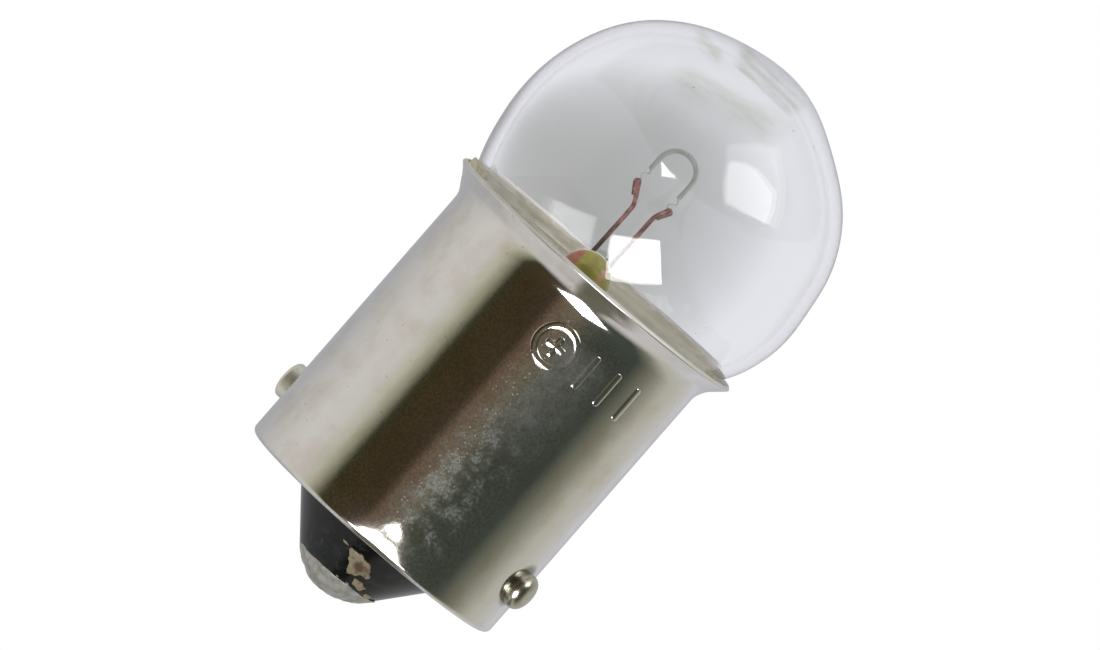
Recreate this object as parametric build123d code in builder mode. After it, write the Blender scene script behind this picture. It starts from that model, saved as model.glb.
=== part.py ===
import math
import os
from build123d import *

os.makedirs("parts", exist_ok=True)

# Small round-globe bulb on a single-contact bayonet cap, in millimetres.
# +Z runs up the lamp axis from the cap to the globe.
# The origin is on that axis, level with the two bayonet pins, which point along X.

# Cap shell
cap_diameter = 15.2
cap_wall = 0.25
cap_corner_radius = 0.5
cap_lip_width = 1.4
bottom_below_pins = 2.85
rim_above_pins = 13.89
flare_diameter = 17.24
flare_height = 1.1
flare_bend_radius = 1.4

# Bayonet pins: a stud outside the shell, a spigot through it and a rivet head inside
pin_diameter = 2.0
pin_proud = 0.85
pin_end_radius = 0.4
spigot_diameter = 1.5
rivet_head_diameter = 2.6
rivet_head_height = 0.35

# Insulator and end contact
insulator_depth = 1.2
cone_height = 2.65
cone_base_diameter = 8.84
cone_tip_diameter = 4.45
cone_root_radius = 0.6
eyelet_diameter = 2.8
eyelet_wall = 0.2
eyelet_tube_diameter = 1.5
eyelet_tube_length = 2.0
solder_height = 1.06
lead_in_solder = 0.6

# Glass globe and neck
globe_diameter = 18.0
globe_stretch = 0.17
globe_wall = 0.6
neck_wall = 0.8
neck_bend_radius = 1.8
neck_above_pins = 4.0
cement_gap = 0.345
cement_above_neck_end = 1.2
cement_below_rim = 0.45

# Stem, press and exhaust tube
stem_diameter = 5.8
stem_wall = 0.6
stem_bend_radius = 1.8
press_above_rim = 0.9
press_width = 2.7
press_thickness = 2.0
press_height = 3.8
press_edge_radius = 0.7
press_offset = 0.32
pinch_height = 3.0
hollow_height = 1.6
hollow_diameter = 3.0
exhaust_diameter = 2.0
exhaust_wall = 0.4
exhaust_tip_radius = 0.8
exhaust_length = 7.8

# Lead wires and filament, in a plane turned from the pins about the lamp axis
mount_turn = 17.6
lead_diameter = 0.25
lead_spacing = 1.07
lead_bend_radius = 0.5
lead_clearance = 0.4
splay_height = 2.6
splay_above_press_foot = 0.8
centre_lead_drop = 1.0
side_lead_drop = 1.1
side_lead_overhang = 0.35
hook_above_press = 3.83
hook_lean = 30.0
hook_gap = 0.08
hook_eye = 0.1
hook_return = 0.6
filament_span = 1.98
filament_rise = 2.6
filament_leg = 0.92
filament_wire = 0.07
coil_diameter = 0.3
coil_turns = 17
points_per_turn = 8
wire_sides = 6
tail_reach = 0.2

# Side solder on the rim
side_solder_width = 1.9
side_solder_depth = 1.2

# Heights and radii that follow from the sizes above
cap_radius = cap_diameter / 2
cap_inner_radius = cap_radius - cap_wall
cap_bottom = -bottom_below_pins
cap_rim = rim_above_pins
flare_bottom = cap_rim - flare_height
flare_angle = math.atan2(flare_diameter / 2 - cap_radius, flare_height)
lip_radius = cap_radius - cap_lip_width
lip_top = cap_bottom + cap_wall
insulator_top = lip_top + insulator_depth
cone_tip = cap_bottom - cone_height
globe_radius = globe_diameter / 2
glass_inset = cap_wall + cement_gap
neck_radius = cap_radius - glass_inset
neck_inner_radius = neck_radius - neck_wall
neck_bottom = neck_above_pins
stem_radius = stem_diameter / 2
press_top = cap_rim + press_above_rim
press_bottom = press_top - press_height
stem_shoulder = press_bottom - pinch_height
hollow_top = stem_shoulder + hollow_height
exhaust_radius = exhaust_diameter / 2
exhaust_bottom = hollow_top - exhaust_length
lead_radius = lead_diameter / 2
bore_radius = eyelet_tube_diameter / 2

# The wires stand in this plane: its X runs across the press, its Y runs up, and its Z points to the front
turn = math.radians(mount_turn)
mount_plane = Plane(
    origin=(0, 0, 0),
    x_dir=(math.cos(turn), math.sin(turn), 0),
    z_dir=(math.sin(turn), -math.cos(turn), 0),
)
press_plane = Plane(
    origin=(0, 0, press_bottom),
    x_dir=mount_plane.x_dir,
    z_dir=(0, 0, 1),
)


def flare_corner(inset):
    """Corner between wall and flare, for a line that runs inside the shell's outer face by the inset."""
    return cap_radius - inset, flare_bottom + inset * math.tan(flare_angle / 2)


def along_flare(inset, height):
    """Point at a height on the flared stretch of that line."""
    radius, start = flare_corner(inset)
    return radius + (height - start) * math.tan(flare_angle), height


# Section of the cap shell: one line from the bottom lip to the rim, thickened inwards
with BuildSketch(Plane.XZ) as shell_section:
    with BuildLine():
        FilletPolyline(
            (lip_radius, cap_bottom),
            (cap_radius, cap_bottom),
            flare_corner(0),
            along_flare(0, cap_rim),
            radius=[cap_corner_radius, flare_bend_radius],
        )
        offset(amount=cap_wall, side=Side.LEFT)
    make_face()

# Cap shell with the two rivet holes
with BuildPart() as cap_shell:
    add(shell_section.sketch)
    revolve(axis=Axis.Z)
    with BuildSketch(Plane.YZ):
        Circle(spigot_diameter / 2)
    extrude(amount=flare_diameter, both=True, mode=Mode.SUBTRACT)


# Bayonet pin: the rivet head's corner meets the round inside of the shell
def bayonet_pin(side):
    head_radius = rivet_head_diameter / 2
    head_outer = math.sqrt(cap_inner_radius**2 - head_radius**2)
    head_inner = head_outer - rivet_head_height
    pin_end = cap_radius + pin_proud
    with BuildPart() as pin:
        with BuildSketch(Plane.XZ):
            with BuildLine():
                Polyline(
                    (side * head_inner, 0),
                    (side * head_inner, head_radius),
                    (side * head_outer, head_radius),
                    (side * head_outer, spigot_diameter / 2),
                    (side * cap_radius, spigot_diameter / 2),
                    (side * cap_radius, pin_diameter / 2),
                    (side * pin_end, pin_diameter / 2),
                    (side * pin_end, 0),
                    close=True,
                )
            make_face()
        revolve(axis=Axis.X)
        end_face = pin.faces().sort_by(Axis.X)[-1 if side > 0 else 0]
        fillet(end_face.edges(), pin_end_radius)
    return pin


bayonet_pin_right = bayonet_pin(1)
bayonet_pin_left = bayonet_pin(-1)

# Black glass insulator: a plug behind the lip, and a cone that comes out to the end contact
with BuildPart() as insulator:
    with BuildSketch(Plane.XZ) as insulator_section:
        with BuildLine():
            Polyline(
                (bore_radius, cone_tip),
                (cone_tip_diameter / 2, cone_tip),
                (cone_base_diameter / 2, cap_bottom),
                (lip_radius, cap_bottom),
                (lip_radius, lip_top),
                (cap_inner_radius, lip_top),
                (cap_inner_radius, insulator_top),
                (bore_radius, insulator_top),
                close=True,
            )
        make_face()
        cone_root = (cone_base_diameter / 2, cap_bottom)
        fillet(insulator_section.vertices().sort_by_distance(cone_root)[0], cone_root_radius)
        plug_corner = (cap_inner_radius, lip_top)
        fillet(insulator_section.vertices().sort_by_distance(plug_corner)[0], cap_corner_radius - cap_wall)
    revolve(axis=Axis.Z)

# Brass eyelet in the tip of the cone
with BuildPart() as contact_eyelet:
    with BuildSketch(Plane.XZ):
        with BuildLine():
            Polyline(
                (bore_radius - eyelet_wall, cone_tip - eyelet_wall),
                (eyelet_diameter / 2, cone_tip - eyelet_wall),
                (eyelet_diameter / 2, cone_tip),
                (bore_radius, cone_tip),
                (bore_radius, cone_tip + eyelet_tube_length),
                (bore_radius - eyelet_wall, cone_tip + eyelet_tube_length),
                close=True,
            )
        make_face()
    revolve(axis=Axis.Z)


# The glass follows the shell inside the flare and meets the round of the globe level with the rim
shoulder = along_flare(glass_inset, cap_rim)
globe_centre = cap_rim + math.sqrt(globe_radius**2 - shoulder[0] ** 2)
lower_equator = (globe_radius, globe_centre)
upper_equator = (globe_radius, globe_centre + globe_stretch)
crown = (0, globe_centre + globe_stretch + globe_radius)

# Outline of the glass, from the axis outwards: neck, lower round, upper round
with BuildSketch(Plane.XZ) as glass_outside:
    with BuildLine():
        Polyline(crown, (0, neck_bottom), (neck_radius, neck_bottom), flare_corner(glass_inset), shoulder)
        RadiusArc(shoulder, lower_equator, -globe_radius)
        Line(lower_equator, upper_equator)
        RadiusArc(upper_equator, crown, -globe_radius)
    make_face()
    neck_corner = glass_outside.vertices().sort_by_distance(flare_corner(glass_inset))[0]
    fillet(neck_corner, neck_bend_radius)

# Its hollow: both sides of that outline, inset by the wall, and the bore of the neck's turned-in end
with BuildSketch(Plane.XZ) as glass_hollow:
    add(glass_outside.sketch)
    mirror(about=Plane.YZ)
    offset(amount=-globe_wall)
    with Locations((0, neck_bottom)):
        Rectangle(2 * neck_inner_radius, 2 * globe_wall, align=(Align.CENTER, Align.MIN))

# Blown glass globe with its neck
with BuildPart() as glass_envelope:
    with BuildSketch(Plane.XZ):
        add(glass_outside.sketch)
        add(glass_hollow.sketch, mode=Mode.SUBTRACT)
    revolve(axis=Axis.Z)

# Points of the mount: across the press, up the axis, and to the front
across = mount_plane.x_dir
upward = mount_plane.y_dir
frontward = mount_plane.z_dir
press_x = -press_offset
splay_radius = exhaust_radius + lead_radius + lead_clearance
splay_top = press_bottom + splay_above_press_foot
hook_height = press_top + hook_above_press
strand_offset = (lead_diameter + hook_gap) / 2


def mount_point(x, height, front=0.0):
    return across * x + upward * height + frontward * front


# A lead wire folds round the filament's tail, leans in to the press and splays round the exhaust tube
def lead_wire(side, lower_route, lower_radii):
    lean = math.radians(hook_lean)
    rise = across * side * math.sin(lean) + upward * math.cos(lean)
    outward = across * side * math.cos(lean) - upward * math.sin(lean)
    straight_x = press_x + side * lead_spacing / 2
    fold = mount_point(press_x + side * filament_span / 2, hook_height) + rise * hook_eye
    strand_end = fold - outward * strand_offset
    return_start = fold + outward * strand_offset
    lean_width = strand_end.dot(across) - straight_x
    bend = strand_end - rise * (side * lean_width / math.sin(lean))
    with BuildPart() as lead:
        with BuildLine() as route:
            Line(return_start - rise * hook_return, return_start)
            ThreePointArc(return_start, fold + rise * strand_offset, strand_end)
            FilletPolyline(
                strand_end,
                bend,
                mount_point(straight_x, splay_top),
                mount_point(side * splay_radius, splay_top - splay_height),
                *lower_route,
                radius=[lead_bend_radius] * 3 + lower_radii,
            )
        with BuildSketch(Plane(return_start - rise * hook_return, z_dir=rise)):
            Circle(lead_radius)
        sweep(path=route.wires()[0])
    return lead


# To the end contact: under the tip of the exhaust tube and down the eyelet into the solder
lead_wire_centre = lead_wire(
    -1,
    [
        mount_point(-splay_radius, exhaust_bottom),
        mount_point(0, exhaust_bottom - centre_lead_drop),
        mount_point(0, cone_tip - lead_in_solder),
    ],
    [lead_bend_radius] * 2,
)

# To the rim: under the neck to the far side, and up through the cement between glass and shell
side_lead_inset = cap_wall + cement_gap / 2
side_lead_corner = flare_corner(side_lead_inset)
side_lead_end = along_flare(side_lead_inset, cap_rim + side_lead_overhang)
side_lead_level = neck_bottom - side_lead_drop
lead_wire_side = lead_wire(
    1,
    [
        mount_point(splay_radius, side_lead_level),
        mount_point(0, side_lead_level, -side_lead_corner[0]),
        mount_point(0, side_lead_corner[1], -side_lead_corner[0]),
        mount_point(0, side_lead_end[1], -side_lead_end[0]),
    ],
    [lead_bend_radius, lead_bend_radius, flare_bend_radius + side_lead_inset],
)

# Filament: a coil along an arch, with a loose tail at each end that crosses the fold of a hook.
# Its wire is so fine that it is drawn with flat sides.
arch_radius = filament_span / 2
arch_centre = hook_height + filament_rise - arch_radius
arch_length = 2 * filament_leg + math.pi * arch_radius
coil_radius = (coil_diameter - filament_wire) / 2


def arch_point(distance):
    """Point on the arch, with the direction across the wire towards the inside of the arch."""
    turned = (distance - filament_leg) / arch_radius
    angle = math.pi - min(max(turned, 0), math.pi)
    outwards = across * math.cos(angle) + upward * math.sin(angle)
    below = max(filament_leg - distance, distance - filament_leg - math.pi * arch_radius, 0)
    return mount_point(press_x, arch_centre - below) + outwards * arch_radius, -outwards


def coil_points():
    steps = coil_turns * points_per_turn
    points = []
    for step in range(steps + 1):
        centre, inwards = arch_point(arch_length * step / steps)
        phase = 2 * math.pi * step / points_per_turn
        round_turn = frontward * math.cos(phase) + inwards * math.sin(phase)
        points.append(centre + round_turn * coil_radius)
    return points


def tail_points(side):
    x = press_x + side * arch_radius
    coil_end = arch_centre - filament_leg
    return [
        mount_point(x, hook_height, -tail_reach),
        mount_point(x, hook_height),
        mount_point(x, hook_height + tail_reach / 2, tail_reach),
        mount_point(x, (hook_height + tail_reach / 2 + coil_end) / 2, tail_reach),
    ]


with BuildPart() as filament:
    with BuildLine() as coil_line:
        Spline(*tail_points(-1), *coil_points(), *reversed(tail_points(1)))
    with BuildSketch(Plane(coil_line.line @ 0, z_dir=coil_line.line % 0)):
        RegularPolygon(filament_wire / 2, wire_sides)
    sweep(path=coil_line.line)

# Press: a flat pinch of glass with a round top
with BuildPart() as press:
    round_centre = press_top - press_width / 2
    with BuildSketch(mount_plane):
        with Locations((press_x, round_centre)):
            Circle(press_width / 2)
        with Locations((press_x, (press_bottom + round_centre) / 2)):
            Rectangle(press_width, round_centre - press_bottom)
    extrude(amount=press_thickness / 2, both=True)
    outline_edges = press.faces().filter_by(mount_plane).edges().sort_by(Axis.Z)[2:]
    fillet(outline_edges, press_edge_radius)

# Stem: a trumpet foot fused into the neck, a tube, and the pinch that closes it under the press
with BuildPart() as stem:
    with BuildSketch(Plane.XZ):
        with BuildLine():
            FilletPolyline(
                (stem_radius, stem_shoulder),
                (stem_radius, neck_bottom + stem_wall),
                (neck_inner_radius, neck_bottom + stem_wall),
                radius=stem_bend_radius,
            )
            offset(amount=stem_wall, side=Side.RIGHT)
        make_face()
    revolve(axis=Axis.Z)
    with BuildSketch(Plane.XY.offset(stem_shoulder)):
        Circle(stem_radius)
    with BuildSketch(press_plane):
        with Locations((press_x, 0)):
            RectangleRounded(press_width, press_thickness, press_edge_radius)
    loft()
    with BuildSketch(Plane.XZ):
        with BuildLine():
            Polyline(
                (0, stem_shoulder),
                (stem_radius - stem_wall, stem_shoulder),
                (hollow_diameter / 2, hollow_top),
                (0, hollow_top),
                close=True,
            )
        make_face()
    revolve(axis=Axis.Z, mode=Mode.SUBTRACT)
    add(press.part)
    add(lead_wire_centre.part, mode=Mode.SUBTRACT)
    add(lead_wire_side.part, mode=Mode.SUBTRACT)

# Exhaust tube, sealed off with a round tip
with BuildPart() as exhaust_tube:
    with BuildSketch(Plane.XZ):
        with BuildLine():
            FilletPolyline(
                (0, exhaust_bottom),
                (exhaust_radius, exhaust_bottom),
                (exhaust_radius, hollow_top),
                radius=exhaust_tip_radius,
            )
            offset(amount=exhaust_wall, side=Side.LEFT)
        make_face()
    revolve(axis=Axis.Z)

# Solder dome of the end contact, run over the eyelet and the end of its wire
dome_radius = ((cone_tip_diameter / 2) ** 2 + solder_height**2) / (2 * solder_height)
with BuildPart() as contact_solder:
    with BuildSketch(Plane.XZ):
        with BuildLine():
            Polyline((0, cone_tip - solder_height), (0, cone_tip), (cone_tip_diameter / 2, cone_tip))
            RadiusArc((cone_tip_diameter / 2, cone_tip), (0, cone_tip - solder_height), dome_radius)
        make_face()
    revolve(axis=Axis.Z)
    add(contact_eyelet.part, mode=Mode.SUBTRACT)
    add(lead_wire_centre.part, mode=Mode.SUBTRACT)

# Cement ring between the glass and the shell
with BuildSketch(Plane.XZ) as cement_section:
    cement_bottom = neck_bottom + cement_above_neck_end
    cement_top = cap_rim - cement_below_rim
    with Locations((0, cement_bottom)):
        Rectangle(flare_diameter / 2, cement_top - cement_bottom, align=Align.MIN)
    add(glass_outside.sketch, mode=Mode.SUBTRACT)
    add(shell_section.sketch, mode=Mode.SUBTRACT)
with BuildPart() as cement:
    add(cement_section.sketch.faces().sort_by(Axis.X)[0])
    revolve(axis=Axis.Z)
    add(lead_wire_side.part, mode=Mode.SUBTRACT)

# Solder spot over the rim, the end of the side wire and the glass beside it
solder_centre = mount_point(0, cap_rim, -along_flare(cap_wall / 2, cap_rim)[0])
with BuildPart() as side_solder:
    with BuildSketch(Plane(solder_centre, x_dir=across, z_dir=frontward)):
        with BuildLine():
            EllipticalCenterArc((0, 0), side_solder_width / 2, side_solder_depth / 2, 0, arc_size=180)
            Line((-side_solder_width / 2, 0), (side_solder_width / 2, 0))
        make_face()
    revolve(axis=Axis(solder_centre, across))
    for neighbour in (cap_shell, glass_envelope, lead_wire_side, cement):
        add(neighbour.part, mode=Mode.SUBTRACT)

pieces = {
    "glass_envelope": glass_envelope,
    "stem": stem,
    "exhaust_tube": exhaust_tube,
    "lead_wire_centre": lead_wire_centre,
    "lead_wire_side": lead_wire_side,
    "filament": filament,
    "cap_shell": cap_shell,
    "bayonet_pin_left": bayonet_pin_left,
    "bayonet_pin_right": bayonet_pin_right,
    "insulator": insulator,
    "contact_eyelet": contact_eyelet,
    "contact_solder": contact_solder,
    "side_solder": side_solder,
    "cement": cement,
}
for name, piece in pieces.items():
    piece.part.label = name
    export_step(piece.part, f"parts/{name}.step")
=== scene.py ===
import math

import bmesh
import bpy
from mathutils import Matrix, Vector, noise


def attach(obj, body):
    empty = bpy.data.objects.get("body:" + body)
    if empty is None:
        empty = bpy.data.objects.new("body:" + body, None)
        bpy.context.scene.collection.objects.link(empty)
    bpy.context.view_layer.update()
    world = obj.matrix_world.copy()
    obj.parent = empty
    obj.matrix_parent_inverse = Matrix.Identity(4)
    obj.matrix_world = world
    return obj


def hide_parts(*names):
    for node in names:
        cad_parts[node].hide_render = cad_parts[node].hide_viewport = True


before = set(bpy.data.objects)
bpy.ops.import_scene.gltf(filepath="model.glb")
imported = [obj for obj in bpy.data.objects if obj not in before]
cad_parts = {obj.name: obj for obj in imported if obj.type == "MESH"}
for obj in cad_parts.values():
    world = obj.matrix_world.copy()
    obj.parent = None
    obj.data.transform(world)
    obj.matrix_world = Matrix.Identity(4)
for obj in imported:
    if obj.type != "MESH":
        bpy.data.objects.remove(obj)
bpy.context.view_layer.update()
mm = 0.001
scene = bpy.context.scene

# Camera: the lamp axis leans to the right in the picture, and the camera stands a little above the rim
viewSetup = {
    "azimuth": 17.6,
    "elevation": 3.45,
    "axisLean": 48.85,
    "distance": 800.0,
    "frameWidth": 53.69,
    "lookHeight": 10.57,
    "sensor": 36.0,
    "clip": (0.01, 20.0),
}
azimuth = math.radians(viewSetup["azimuth"])
elevation = math.radians(viewSetup["elevation"])
axisLean = math.radians(viewSetup["axisLean"])
across = Vector((math.cos(azimuth), math.sin(azimuth), 0))
frontward = Vector((math.sin(azimuth), -math.cos(azimuth), 0))
lampAxis = Vector((0, 0, 1))
toCamera = frontward * math.cos(elevation) + lampAxis * math.sin(elevation)
rise = toCamera.cross(across)
pictureRight = rise * math.cos(axisLean) + across * math.sin(axisLean)
pictureUp = rise * math.sin(axisLean) - across * math.cos(axisLean)


def turned(xAxis, yAxis, zAxis):
    return Matrix((xAxis, yAxis, zAxis)).transposed().to_4x4()


# Direction given as right, up and towards the camera
def pictureWay(right, up, towards):
    return (pictureRight * right + pictureUp * up + toCamera * towards).normalized()


cameraData = bpy.data.cameras.new("camera")
cameraData.sensor_width = viewSetup["sensor"]
cameraData.lens = viewSetup["sensor"] * viewSetup["distance"] / viewSetup["frameWidth"]
cameraData.clip_start, cameraData.clip_end = viewSetup["clip"]
camera = bpy.data.objects.new("camera", cameraData)
cameraPlace = lampAxis * viewSetup["lookHeight"] + toCamera * viewSetup["distance"]
camera.matrix_world = Matrix.Translation(cameraPlace * mm) @ turned(pictureRight, pictureUp, toCamera)
scene.collection.objects.link(camera)
scene.camera = camera
scene.view_settings.view_transform = "Standard"
print("camera ready")


# Node helpers. A socket given as an input is linked, and anything else is set as its value
def feed(tree, node, inputs):
    for name, value in inputs.items():
        socket = node.inputs[name]
        if isinstance(value, bpy.types.NodeSocket):
            tree.links.new(value, socket)
        else:
            socket.default_value = value


def addNode(tree, kind, settings=None, inputs=None):
    node = tree.nodes.new(kind)
    for name, value in (settings or {}).items():
        setattr(node, name, value)
    feed(tree, node, inputs or {})
    return node


def mathNode(tree, operation, first, second):
    return addNode(tree, "ShaderNodeMath", {"operation": operation}, {0: first, 1: second}).outputs[0]


def product(tree, *values):
    result = values[0]
    for value in values[1:]:
        result = mathNode(tree, "MULTIPLY", result, value)
    return result


def vectorMath(tree, operation, first, second):
    node = addNode(tree, "ShaderNodeVectorMath", {"operation": operation}, {0: first, 1: second})
    return node.outputs["Value"]


def along(tree, vector, axis):
    return vectorMath(tree, "DOT_PRODUCT", vector, axis)


def mixColour(tree, factor, first, second):
    first, second = [(*colour, 1.0) if isinstance(colour, tuple) else colour for colour in (first, second)]
    return addNode(tree, "ShaderNodeMix", {"data_type": "RGBA"}, {0: factor, 6: first, 7: second}).outputs[2]


def fade(tree, value, low, high, lowOut=0.0, highOut=1.0):
    inputs = {"Value": value, "From Min": low, "From Max": high, "To Min": lowOut, "To Max": highOut}
    return addNode(tree, "ShaderNodeMapRange", {"interpolation_type": "SMOOTHSTEP"}, inputs).outputs[0]


# Mask that starts, is full, thins and ends at four values
def window(tree, value, start, full, thin, end):
    return product(tree, fade(tree, value, start, full), fade(tree, value, end, thin))


def ramp(tree, factor, stops):
    node = addNode(tree, "ShaderNodeValToRGB", None, {"Fac": factor})
    elements = node.color_ramp.elements
    while len(elements) < len(stops):
        elements.new(0.5)
    for element, stop in zip(elements, stops):
        element.position = stop[0]
    for element, stop in zip(elements, stops):
        element.color = (*stop[1], 1.0)
    return node.outputs["Color"]


def noiseTexture(tree, place, scale, detail):
    inputs = {"Vector": place, "Scale": scale, "Detail": detail}
    return addNode(tree, "ShaderNodeTexNoise", None, inputs).outputs[0]


def bumpNode(tree, height, strength, distance, normal=None):
    inputs = {"Height": height, "Strength": strength, "Distance": distance * mm}
    if normal is not None:
        inputs["Normal"] = normal
    return addNode(tree, "ShaderNodeBump", None, inputs).outputs[0]


def newGroup(name, inputs, outputs):
    tree = bpy.data.node_groups.new(name, "ShaderNodeTree")
    for socketName, kind, value in inputs:
        socket = tree.interface.new_socket(socketName, in_out="INPUT", socket_type=kind)
        if value is not None:
            socket.default_value = value
    for socketName, kind in outputs:
        tree.interface.new_socket(socketName, in_out="OUTPUT", socket_type=kind)
    return tree, tree.nodes.new("NodeGroupInput"), tree.nodes.new("NodeGroupOutput")


def useGroup(tree, group, **inputs):
    return addNode(tree, "ShaderNodeGroup", {"node_tree": group}, inputs).outputs["Mask"]


def newMaterial(name):
    material = bpy.data.materials.new(name)
    material.use_nodes = True
    tree = material.node_tree
    tree.nodes.clear()
    output = tree.nodes.new("ShaderNodeOutputMaterial")
    shader = tree.nodes.new("ShaderNodeBsdfPrincipled")
    tree.links.new(shader.outputs[0], output.inputs["Surface"])
    return material, tree, shader


def setShader(tree, shader, **inputs):
    feed(tree, shader, {name.replace("_", " "): value for name, value in inputs.items()})


def scaled(tree, vector, scale):
    return addNode(tree, "ShaderNodeMapping", None, {"Vector": vector, "Scale": scale}).outputs[0]


def millimetres(tree):
    coordinates = addNode(tree, "ShaderNodeTexCoord").outputs["Object"]
    return scaled(tree, coordinates, (1 / mm, 1 / mm, 1 / mm))


# Shared effects: soft blotches, and scattered round specks
blotchGroup, groupIn, groupOut = newGroup(
    "blotches",
    [("Vector", "NodeSocketVector", None), ("Scale", "NodeSocketFloat", 1.0),
     ("Low", "NodeSocketFloat", 0.5), ("High", "NodeSocketFloat", 0.7)],
    [("Mask", "NodeSocketFloat")],
)
blotchNoise = addNode(blotchGroup, "ShaderNodeTexNoise", None, {
    "Vector": groupIn.outputs["Vector"], "Scale": groupIn.outputs["Scale"], "Detail": 4.0, "Roughness": 0.6})
blotchMask = fade(blotchGroup, blotchNoise.outputs[0], groupIn.outputs["Low"], groupIn.outputs["High"])
blotchGroup.links.new(blotchMask, groupOut.inputs["Mask"])

speckGroup, groupIn, groupOut = newGroup(
    "specks",
    [("Vector", "NodeSocketVector", None), ("Scale", "NodeSocketFloat", 1.0),
     ("Width", "NodeSocketFloat", 0.2), ("Share", "NodeSocketFloat", 0.3)],
    [("Mask", "NodeSocketFloat")],
)
cells = addNode(speckGroup, "ShaderNodeTexVoronoi", None, {
    "Vector": groupIn.outputs["Vector"], "Scale": groupIn.outputs["Scale"], "Randomness": 1.0})
cellValue = addNode(speckGroup, "ShaderNodeSeparateColor", None, {"Color": cells.outputs["Color"]}).outputs[0]
chosen = mathNode(speckGroup, "LESS_THAN", cellValue, groupIn.outputs["Share"])
spots = fade(speckGroup, cells.outputs["Distance"], groupIn.outputs["Width"], 0.0)
speckGroup.links.new(product(speckGroup, spots, chosen), groupOut.inputs["Mask"])

# Nickel plate: bright, with brown smears and dark specks. Grey dust, painted glints and a thin haze lie
# down the front, painted shade sits round the foot of the right pin, and the bottom and the cut rim are dull
capRadius = 7.6
plate = {
    "front": (0.0, 3.0),
    "grimeAndGlintAcross": (-3.4, -2.6, 3.4, 5.0),
    "grimeAndGlintTop": (12.6, 11.8),
    "dustAcross": (-0.8, 1.2, 1.2, 4.6),
    "dustUp": (-2.4, -0.8, 2.0, 11.0),
    "dustShare": (0.45, 1.0),
    "hazeAcross": (0.6, 1.4, 2.5, 4.9),
    "hazeUp": (1.0, 8.5, 10.5, 12.0),
    "hazeShare": (0.24, 0.37),
    "paintedGlintsAcross": (-0.7, 0.4, 0.7, 2.6),
    "paleFrom": (0.45, 0.9),
    "pinFoot": Vector((capRadius, 0, 0)) + frontward * 0.2 + lampAxis * 0.12,
    "pinShadeReach": (1.45, 1.0),
    "dullBottom": (-0.9, -2.0, 0.0, 0.5),
    "cutEdge": (13.84, 13.92, 0.0, 0.62),
    "dustRoughness": 0.2,
    "dustMetallic": 0.2,
    "paintedGlintShare": 0.8,
    "waves": (1.1, 3.0),
    "waveStrength": 0.10,
    "waveDepth": 0.05,
    "pits": (9.0, 2.0),
    "pitStrength": (0.03, 0.07),
    "pitDepth": 0.02,
    "smearShare": 0.5,
    "grimeShare": 0.5,
    "speckShare": 0.45,
    "pinShadeShare": 0.85,
    "smearTone": (0.66, 0.59, 0.50),
    "grimeTone": (0.42, 0.36, 0.30),
    "speckTone": (0.34, 0.32, 0.29),
    "pinShadeTone": (0.13, 0.14, 0.10),
    "dustTone": (0.20, 0.235, 0.20),
    "paleTone": (0.34, 0.37, 0.335),
    "paintedGlintTone": (0.75, 0.78, 0.75),
}


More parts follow.
